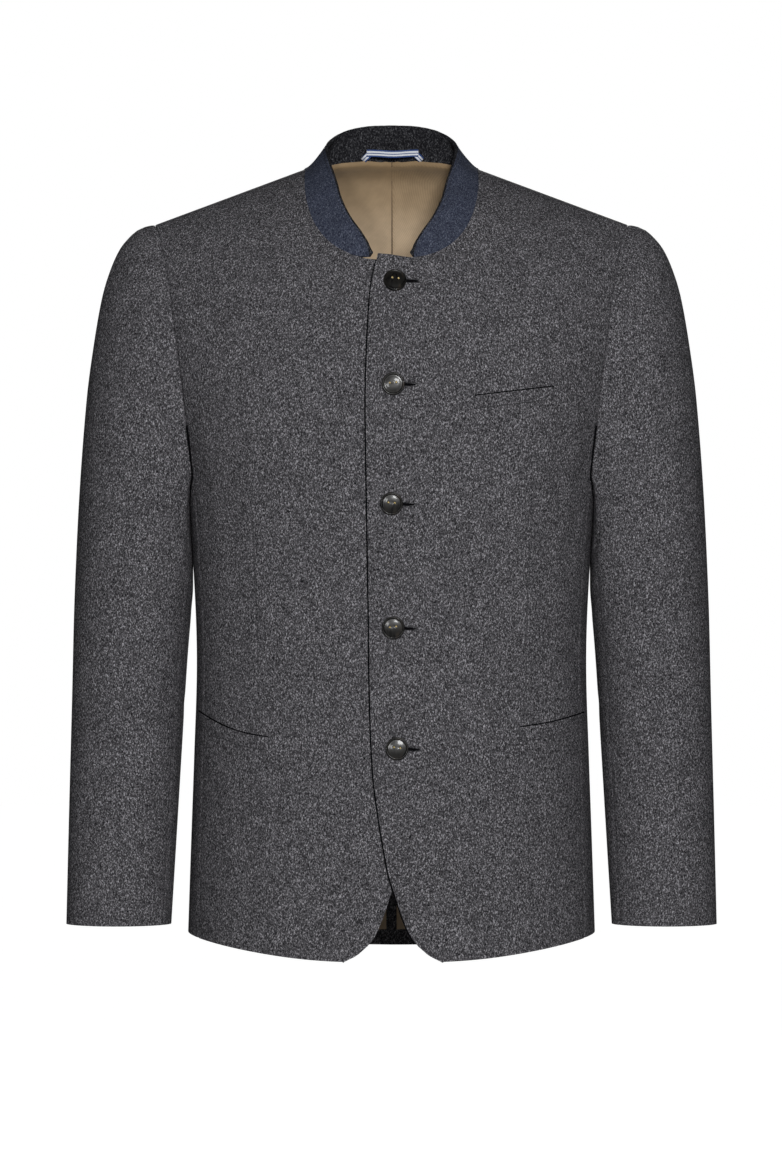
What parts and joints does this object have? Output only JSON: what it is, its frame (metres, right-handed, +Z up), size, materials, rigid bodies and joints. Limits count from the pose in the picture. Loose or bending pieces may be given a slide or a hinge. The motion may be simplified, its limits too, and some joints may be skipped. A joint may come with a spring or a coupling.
{
  "type": "tyrolean loden jacket",
  "caption": "Hollow, filled-out men's loden jacket with a contrasting stand collar, a buttoned lapping front, welt pockets, set-in sleeves, cutaway front hem and back vent.",
  "frame": {"origin": "base of the neck, in the middle between the inner ends of the shoulder seams, where the wearer holds the jacket up", "axes": "+Z up, +X to the wearer's left, and the jacket faces -Y"},
  "size_m": [0.61, 0.26, 0.783],
  "materials": {
    "loden": "charcoal melange loden with a short felted nap",
    "navy_felt": "dense navy melange felt",
    "twill": "tan twill lining with a faint sheen",
    "tape": "woven blue and white striped tape",
    "horn": "polished dark horn button with two thread holes"
  },
  "bodies": {
    "root": {"front_left": "loden", "front_right": "loden", "side_left": "loden", "side_right": "loden", "back_left": "loden", "back_right": "loden", "top_sleeve_left": "loden", "top_sleeve_right": "loden", "under_sleeve_left": "loden", "under_sleeve_right": "loden", "collar_inner": "loden", "breast_welt": "loden", "hip_welt_left": "loden", "hip_welt_right": "loden", "collar_outer": "navy_felt", "lining_left": "twill", "lining_right": "twill", "hanger_loop": "tape", "button_1": "horn", "button_2": "horn", "button_3": "horn", "button_4": "horn", "button_5": "horn"}
  },
  "joints": []
}
